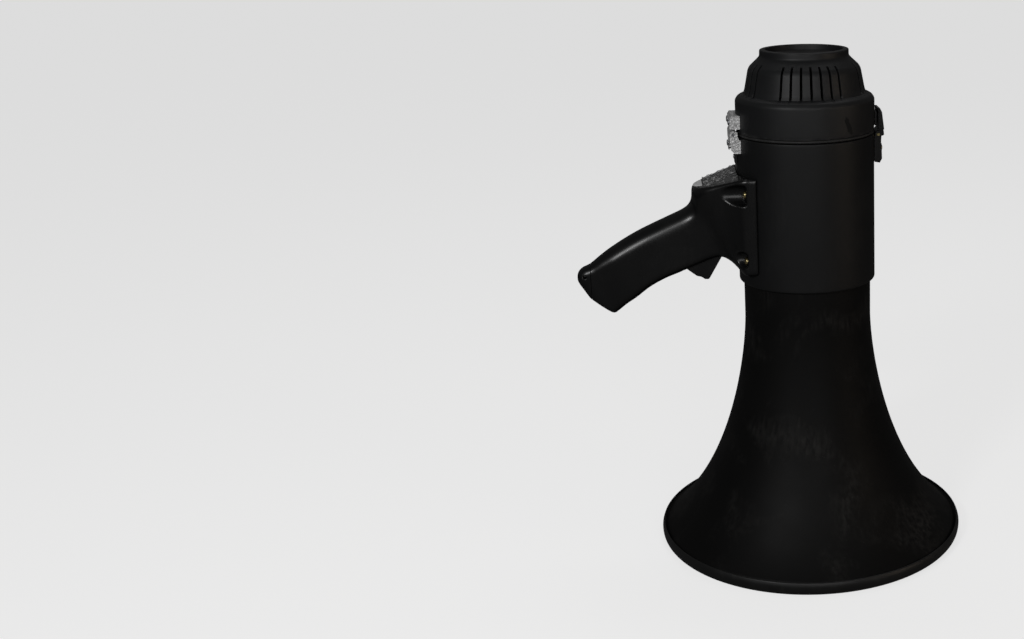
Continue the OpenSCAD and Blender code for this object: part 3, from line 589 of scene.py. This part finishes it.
def make_body():
    outside = [(46.6, 203, 0.3), (49.3, 203.0, 0.5), (49.7, 203.6, 0.4), (49.68, 206.0), (49.58, 232),
               (49.42, 262), (49.28, 292), (49.21, 306.6), (49.2, 308.5, 0.6), (46.4, 308.5, 0.4)]
    inside = [(46.1, 224.6), (34.4, 224.6), (34.4, 222.1), (46.6, 222.1)]
    profile = fillet(outside + inside, 3)
    finished(loose_object("body_tube", spun(profile, 192)), "body_shell", "shell_plastic")


CAP_STEPS = 148
SLOT_SPAN = (336.0, 359.0)


def make_cap():
    """The hinged rear cap: four groups of seven vent slots cut through its cone."""
    outer = fillet([(49.0, 311.1, 0.4), (49.42, 314.0), (49.5, 331.4), (49.4, 333.2, 1.4), (47.9, 335.6, 1.6),
                    (45.6, 336.7, 0.8), (43.6, 337.4), (42.5, 340.2, 1.2), (39.9, 353.8, 1.2),
                    (38.6, 356.3, 1.2), (35.7, 359.0), (33.4, 361.1, 1.2),
                    (31.5, 363.2, 1.0), (31.4, 367.6, 0.9), (27.4, 368, 0.9), (27.2, 361.6, 0.3)], 4)
    inner = fillet([(10.4, 361.6), (10.4, 351), (12.4, 351), (12.4, 359.2), (32, 359.2), (34.2, 357.1), (36.9, 354.6),
                    (40, 338), (41, 335.2), (47, 331.6), (47, 311.1)], 2)
    profile = outer + inner
    step = TURN / CAP_STEPS
    bm = spun(profile, CAP_STEPS, start=-step / 2)
    cut = []
    for i, a in enumerate(profile):
        b = profile[(i + 1) % len(profile)]
        r, z = (a[0] + b[0]) / 2, (a[1] + b[1]) / 2
        if (SLOT_SPAN[0] < z < SLOT_SPAN[1] and r > 33.5 and i < len(outer) - 1) or \
                (i >= len(outer) and 337.5 < z < 357.2 and 34 < r < 40.5):
            cut.append((r, z))
    wanted = {(quarter * 37 + 4 * (k - 3)) % CAP_STEPS for quarter in range(4) for k in range(7)}
    slots = {w: [] for w in wanted}
    for face in bm.faces:
        centre = face.calc_center_median() / MM
        index = round(math.atan2(centre.y, centre.x) / step) % CAP_STEPS
        r = centre.xy.length
        if index in slots and any(abs(r - c[0]) < 0.06 and abs(centre.z - c[1]) < 0.06 for c in cut):
            slots[index].append(face)
    for faces in slots.values():
        rims = {e for f in faces for e in f.edges if sum(g in faces for g in e.link_faces) == 1}
        bmesh.ops.delete(bm, geom=faces, context="FACES_ONLY")
        bmesh.ops.bridge_loops(bm, edges=[e for e in rims if e.is_valid])
    loose = [e for e in bm.edges if not e.link_faces]
    bmesh.ops.delete(bm, geom=loose, context="EDGES")
    bmesh.ops.recalc_face_normals(bm, faces=bm.faces)
    cap = soften(loose_object("vented_cap", bm), 0.3, 2, 40)
    finished(cap, "rear_cap", "cap_plastic")


# ---- Grip ----

# Each station runs from the top edge to the bottom edge of the side outline (x, z), with the half width
# and the corner radii at the top and the bottom.
GRIP_STATIONS = [
    ((-167.2, 207.5), (-158.0, 192.8), 4.6, 4.4, 4.0),
    ((-166.6, 212.4), (-149.6, 186.6), 6.6, 6.0, 4.5),
    ((-163.4, 216.2), (-142.4, 182.2), 7.3, 6.6, 4.5),
    ((-157.5, 219.0), (-138.5, 184.1), 7.8, 7.2, 4.5),
    ((-150.5, 224.4), (-132.7, 188.8), 9.2, 8.6, 5.0),
    ((-142.6, 230.1), (-124.8, 194.3), 10.6, 10.2, 5.0),
    ((-131.5, 236.9), (-114.9, 201.7), 11.2, 10.8, 5.0),
    ((-120.5, 242.7), (-103.8, 207.5), 11.4, 10.9, 5.0),
    ((-109.5, 247.7), (-93.0, 211.6), 11.4, 10.9, 5.0),
    ((-98.6, 252.4), (-81.0, 216.4), 11.4, 10.8, 4.6),
    ((-90.0, 256.2), (-72.0, 220.0), 11.6, 10.8, 4.4),
    ((-85.6, 259.2), (-65.0, 221.8), 12.0, 10.8, 4.4),
    ((-83.0, 263.6), (-61.0, 221.6), 12.8, 10.6, 4.4),
    ((-82.2, 271.0), (-58.6, 220.6), 14.6, 10.2, 4.6),
    ((-79.6, 273.4), (-56.4, 219.4), 16.6, 8.6, 5.0),
    ((-74.0, 275.1), (-54.2, 217.8), 19.6, 4.6, 5.4),
    ((-64.0, 277.8), (-52.0, 216.0), 23.6, 3.0, 5.4),
    ((-54.0, 280.5), (-49.5, 213.8), 28.6, 2.6, 5.0),
    ((-46.0, 282.6), (-46.0, 212.4), 32.4, 2.4, 3.4),
    ((-36.0, 283.0), (-36.0, 212.4), 33.0, 2.4, 3.0),
]
RINGS = 190
SIDES = 64
GRIP_SCREW_AT = ((-140, 204), (-104, 236))
BUTT_SEAM_X = -157.3
BUTT_SEAM_GAP = 0.3
HALF_SEAM = 0.07


def eased(values, t):
    """Catmull-Rom between the values at whole steps of t."""
    i = min(int(t), len(values) - 2)
    f = t - i
    a, b = values[max(i - 1, 0)], values[i]
    c, d = values[i + 1], values[min(i + 2, len(values) - 1)]
    return 0.5 * (2 * b + (c - a) * f + (2 * a - 5 * b + 4 * c - d) * f * f + (3 * b - a - 3 * c + d) * f ** 3)


def section_point(share, width, height, top_r, low_r):
    """A point on a rounded rectangle, share 0 to 1 round it: eight runs, corners and sides in turn."""
    top_r, low_r = min(top_r, width), min(low_r, width)
    corners = [(width - top_r, height - top_r, top_r, 90), (-(width - top_r), height - top_r, top_r, 180),
               (-(width - low_r), low_r, low_r, 270), (width - low_r, low_r, low_r, 360)]
    run = (share % 1) * 8
    index, f = int(run) // 2, run - int(run)
    y, z, r, turned_to = corners[index]
    if int(run) % 2 == 0:
        angle = math.radians(turned_to - 90 + 90 * f)
        return y + r * math.cos(angle), z + r * math.sin(angle)
    angle = math.radians(turned_to)
    start = Vector((y + r * math.cos(angle), z + r * math.sin(angle)))
    y2, z2, r2, _ = corners[(index + 1) % 4]
    end = Vector((y2 + r2 * math.cos(angle), z2 + r2 * math.sin(angle)))
    return tuple(start.lerp(end, f))


def grip_form():
    """The whole grip and saddle as one flowing solid."""
    tops = [Vector(s[0]) for s in GRIP_STATIONS]
    lows = [Vector(s[1]) for s in GRIP_STATIONS]
    widths, top_rs, low_rs = ([s[k] for s in GRIP_STATIONS] for k in (2, 3, 4))
    bm = bmesh.new()
    bmesh.ops.create_grid(bm, x_segments=SIDES, y_segments=RINGS, size=1)
    last = len(GRIP_STATIONS) - 1
    for v in bm.verts:
        t = (v.co.y + 1) / 2 * last
        top, low = eased(tops, t), eased(lows, t)
        up = top - low
        y, z = section_point((v.co.x + 1) / 2, eased(widths, t), up.length, eased(top_rs, t), eased(low_rs, t))
        at = low + up.normalized() * z
        v.co = Vector((at.x, y, at.y)) * MM
    bmesh.ops.remove_doubles(bm, verts=bm.verts, dist=1e-6)
    bmesh.ops.holes_fill(bm, edges=[e for e in bm.edges if e.is_boundary])
    bmesh.ops.recalc_face_normals(bm, faces=bm.faces)
    return bm


PANEL_SLOPE = math.radians(15)
PANEL_AT = Vector((-50, 0, 281.6))


def panel_cutter(lift, grow):
    """The recess that the control panel sits in."""
    outline = [(-50 + grow, -26 - grow), (-69, -18 - grow), (-77 - grow, -11 - grow), (-77 - grow, 11 + grow),
               (-69, 18 + grow), (-50 + grow, 26 + grow)]
    bm = prism(outline, "z", 262, 300)
    bmesh.ops.bisect_plane(bm, geom=bm.verts[:] + bm.edges[:] + bm.faces[:],
                           plane_co=PANEL_AT * MM + Vector((0, 0, lift * MM)),
                           plane_no=(-math.sin(PANEL_SLOPE), 0, math.cos(PANEL_SLOPE)), clear_inner=True)
    bmesh.ops.holes_fill(bm, edges=[e for e in bm.edges if e.is_boundary])
    bmesh.ops.recalc_face_normals(bm, faces=bm.faces)
    return bm


def half_of(mesh, name, point, normal):
    """The part of a closed mesh on the far side of a plane, closed again."""
    bm = bmesh.new()
    bm.from_mesh(mesh)
    bmesh.ops.bisect_plane(bm, geom=bm.verts[:] + bm.edges[:] + bm.faces[:], plane_co=Vector(point) * MM,
                           plane_no=normal, clear_inner=True)
    bmesh.ops.holes_fill(bm, edges=[e for e in bm.edges if e.is_boundary])
    return loose_object(name, bm)


def make_grip():
    form = loose_object("grip_form", grip_form())
    trigger_opening = [(-92, 196), (-92, 212.5), (-99, 221), (-99, 233), (-70, 240), (-57, 236), (-56, 217),
                       (-60, 196)]
    cutters = [prism(trigger_opening, "y", -7.4, 7.4),
               prism([(-76, -9), (-50, -18), (-50, 18), (-76, 9)], "z", 252, 279)]
    cutters.append(panel_cutter(-2.3, 0.1))
    for side in (-1, 1):
        cutters.append(rod((-61.8, side * 30.6, 271), (1, 0, 0), 7.4, 32.4))
        cutters.append(rod((-61.8, side * 29.4, 224.6), (1, 0, 0), 5.8, 32.4))
    cutters.append(rod((0, 0, 250), (0, 0, 1), 49.85, 200, 256))
    carve(form, cutters)
    skin = form.modifiers.new("moulded_skin", "REMESH")
    skin.mode = "VOXEL"
    skin.voxel_size = 0.85 * MM
    ease = form.modifiers.new("eased", "SMOOTH")
    ease.factor = 0.5
    ease.iterations = 7
    bake_modifiers(form)
    hand = half_of(form.data, "hand", (BUTT_SEAM_X, 0, 0), (1, 0, 0))
    left = half_of(hand.data, "grip_shell_left", (0, -HALF_SEAM, 0), (0, -1, 0))
    right = half_of(hand.data, "grip_shell_right", (0, HALF_SEAM, 0), (0, 1, 0))
    butt = half_of(form.data, "grip_butt", (BUTT_SEAM_X - BUTT_SEAM_GAP, 0, 0), (-1, 0, 0))
    discard(form, hand)
    carve(butt, [rod((-161.6, 0, 210.8), (0, 1, 0), 1.5, 40, 32)])
    bores = [rod((x, 14, z), (0, 1, 0), 2.8, 13.2, 32) for x, z in GRIP_SCREW_AT]
    carve(right, bores)
    finished(left, "grip_left", "grip_plastic")
    finished(right, "grip_right", "grip_plastic")
    finished(butt, "butt_cap", "grip_plastic")


def make_film_sheet():
    """The clear film over the controls: lifted, creased and hanging a little over the edges."""
    bm = bmesh.new()
    bmesh.ops.create_grid(bm, x_segments=72, y_segments=88, size=1)
    for v in bm.verts:
        u, w = (v.co.x + 1) / 2, v.co.y
        x = -50.4 - 24.0 * u
        half = 27.2 + (13.0 - 27.2) * u ** 0.85
        y = w * half
        lift = 1.45 + 0.5 * math.sin(0.55 * x + 0.21 * y) * math.cos(0.33 * y + 0.6)
        lift += 0.3 * math.sin(1.3 * y + 0.5 * x)
        lift += 0.22 * math.sin(1.9 * x - 0.8 * y + 1.1)
        edge = max(abs(w) - 0.86, 0) / 0.14
        lift = lift * (1 - 0.55 * edge) - 0.5 * edge * edge
        z = PANEL_AT.z + (x - PANEL_AT.x) * math.tan(PANEL_SLOPE) + lift
        v.co = Vector((x, y, z)) * MM
    bmesh.ops.recalc_face_normals(bm, faces=bm.faces)
    sheet = loose_object("clear_film", bm)
    wall = sheet.modifiers.new("film_thickness", "SOLIDIFY")
    wall.thickness = 0.12 * MM
    wall.offset = 0
    finished(sheet, "protective_film", "film")


# ---- Screws and rivets ----


def screw(head_r, head_h, shank_r, shank_l, cross=True):
    """A pan-head screw along +Z, its head on z = 0, with a cross recess."""
    head = fillet([(0, -shank_l), (shank_r, -shank_l), (shank_r, 0), (head_r, 0, 0.15),
                   (head_r, head_h * 0.5, head_h * 0.5),
                   (head_r * 0.62, head_h, head_h * 0.6), (0, head_h)], 4)
    obj = loose_object("screw", spun(head, 40))
    if cross:
        arm, wide = head_r * 0.56, head_r * 0.17
        for turn in (0, math.pi / 2):
            bm = bmesh.new()
            bmesh.ops.create_cube(bm, size=2 * MM)
            bmesh.ops.scale(bm, verts=bm.verts, vec=(arm, wide, head_h * 0.55))
            for v in bm.verts:
                if v.co.z < 0:
                    v.co.x *= 0.45
                    v.co.y *= 0.6
            bmesh.ops.rotate(bm, verts=bm.verts, matrix=Matrix.Rotation(turn + 0.35, 3, "Z"))
            bmesh.ops.translate(bm, verts=bm.verts, vec=(0, 0, head_h * MM))
            carve(obj, [bm])
    mesh = obj.data
    discard(obj)
    return mesh


def placed_screws(node, name, finish, mesh, places):
    """Copies of one screw at (point, direction, turn), joined as one piece."""
    bm = bmesh.new()
    for point, direction, turn in places:
        part = bmesh.new()
        part.from_mesh(mesh)
        way = Vector((0, 0, 1)).rotation_difference(Vector(direction)).to_matrix() @ Matrix.Rotation(turn, 3, "Z")
        bmesh.ops.rotate(part, verts=part.verts, matrix=way)
        bmesh.ops.translate(part, verts=part.verts, vec=Vector(point) * MM)
        one = bpy.data.meshes.new("one_screw")
        part.to_mesh(one)
        part.free()
        bm.from_mesh(one)
        bpy.data.meshes.remove(one)
    piece = soften(loose_object(name, bm), 0.1, 2, 38)
    return finished(piece, node, finish)


def make_screws():
    def ring_of(count, radius, z, direction, start=0.0):
        return [((radius * math.cos(a), radius * math.sin(a), z), direction, a * 1.7)
                for a in (start + TURN * k / count for k in range(count))]
    placed_screws("saddle_screws", "saddle_screw_set", "brass", screw(2.9, 2.0, 1.45, 8.9),
                  [((-45.65, y, z), (-1, 0, 0), 0.3 * z) for y in (-27.4, 27.4) for z in (223, 271)])
    placed_screws("grip_screws", "grip_screw_set", "steel", screw(2.4, 1.6, 1.2, 13.4),
                  [((x, 7.45, z), (0, 1, 0), x) for x, z in GRIP_SCREW_AT])
    hinge_screw = screw(2.3, 0.9, 1.4, 7.1)
    for node, name, z in (("hinge_body_screws", "hinge_lower_screws", 302),
                          ("hinge_cap_screws", "hinge_upper_screws", 319.2)):
        placed_screws(node, name, "steel", hinge_screw, [((-54.75, y, z), (-1, 0, 0), y + z) for y in (-8, 8)])
    placed_screws("latch_rivets", "latch_rivet_pair", "brass", screw(2.0, 0.8, 1.2, 7.9, cross=False),
                  [((54.2, y, 297), (1, 0, 0), 0) for y in (-4.5, 4.5)])
    placed_screws("strap_rivet", "strap_plate_rivet", "steel", screw(1.7, 0.8, 0.9, 4.4, cross=False),
                  [((-51.05, 0, 293.4), (-1, 0, 0), 0)])
    placed_screws("reflector_screws", "reflector_screw_set", "steel", screw(2.7, 1.8, 1.45, 8.9),
                  ring_of(3, 31, END_Z - 2.25, (0, 0, -1)))


# ---- Hinge, latch, trigger and controls ----


LEAF_BROADER = 1.13


def make_hinge_leaves():
    """The two cast leaves, with slightly broader ends than the plain shape."""
    for node, name in (("hinge_body_leaf", "hinge_lower_leaf"), ("hinge_cap_leaf", "hinge_upper_leaf")):
        leaf = copy_of_node(node, name)
        for v in leaf.data.vertices:
            if abs(v.co.y) > 12 * MM:
                v.co.y *= LEAF_BROADER
                if v.co.x > -50.5 * MM:
                    v.co.x += 0.7 * MM
        finished(soften(leaf, 0.45, 3, 28), node, SLOT_OF[node])


def make_fittings():
    for node, name, width in (
            ("latch_base", "latch_bracket", 0.4), ("latch_lever", "latch_handle", 0.4),
            ("latch_keeper", "latch_catch", 0.4), ("strap_plate", "strap_anchor", 0.3),
            ("trigger", "trigger_blade", 0.7), ("control_panel", "panel_plate", 0.2),
            ("panel_end", "panel_light_end", 0.2), ("volume_wheel", "volume_thumbwheel", 0.2),
            ("mode_switch", "mode_knob", 0.3), ("battery_tray", "battery_holder", 0.4)):
        softened_node(node, name, width)
    spring = finished(copy_of_node("trigger_spring", "trigger_return_spring"), "trigger_spring",
                      SLOT_OF["trigger_spring"])
    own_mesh(spring)


def dress_cad_nodes():
    """The nodes that keep their CAD shape get their finish."""
    for node, obj in frame["nodes"].items():
        if obj.hide_render:
            continue
        obj.data.materials.clear()
        obj.data.materials.append(FINISH[SLOT_OF[node]])


# ---- Studio ----


def area_light(name, place, aim, size, power, colour=(1, 1, 1)):
    data = bpy.data.lights.new(name, "AREA")
    data.shape = "RECTANGLE"
    data.size, data.size_y = size
    data.energy = power
    data.color = colour
    obj = bpy.data.objects.new(name, data)
    obj.location = place
    obj.rotation_mode = "QUATERNION"
    obj.rotation_quaternion = (Vector(aim) - Vector(place)).to_track_quat("-Z", "Y")
    scene.collection.objects.link(obj)


FLOOR_GLOW = 0.7


def only_for_camera(tree, seen, otherwise, output):
    """Shows one shader to the camera and another to every other ray."""
    path = add_node(tree, "LightPath").outputs["Is Camera Ray"]
    both = add_node(tree, "MixShader", {0: path, 1: otherwise, 2: seen}).outputs[0]
    tree.links.new(both, output)


def make_studio():
    bm = bmesh.new()
    bmesh.ops.create_grid(bm, x_segments=1, y_segments=1, size=40)
    floor = loose_object("studio_floor", bm)
    material = bpy.data.materials.new("pale_floor")
    material.use_nodes = True
    tree = material.node_tree
    tree.nodes.clear()
    lit = add_node(tree, "BsdfDiffuse", {"Color": (0.35, 0.35, 0.35, 1)}).outputs[0]
    glow = add_node(tree, "Emission", {"Color": (1, 1, 1, 1), "Strength": FLOOR_GLOW}).outputs[0]
    pale = add_node(tree, "AddShader", {0: lit, 1: glow}).outputs[0]
    dim = add_node(tree, "BsdfDiffuse", {"Color": (0.2, 0.2, 0.2, 1)}).outputs[0]
    only_for_camera(tree, pale, dim, add_node(tree, "OutputMaterial").inputs["Surface"])
    floor.data.materials.append(material)
    world = bpy.data.worlds.new("studio")
    scene.world = world
    world.use_nodes = True
    world.node_tree.nodes["Background"].inputs["Color"].default_value = (1, 1, 1, 1)
    world.node_tree.nodes["Background"].inputs["Strength"].default_value = 0.06
    area_light("front_softbox", (0.15, -1.35, 0.62), (0.0, 0, 0.26), (0.7, 0.5), 2.6)
    area_light("grip_softbox", (-0.68, -0.95, 0.74), (-0.08, 0, 0.24), (0.24, 0.24), 3.8)
    area_light("overhead_softbox", (0.1, 0.5, 1.5), (0, 0, 0.2), (0.9, 0.5), 2.5)
    area_light("warm_side_softbox", (1.2, -0.75, 0.4), (0, 0, 0.24), (0.4, 0.7), 1.5, (1.0, 0.82, 0.64))
    scene.view_settings.view_transform = "Standard"
    scene.view_settings.look = "None"
    scene.view_settings.exposure = 0.0


make_bell()
make_rim()
make_reflector()
make_body()
make_cap()
make_grip()
make_film_sheet()
make_screws()
make_fittings()
make_hinge_leaves()
dress_cad_nodes()
make_studio()
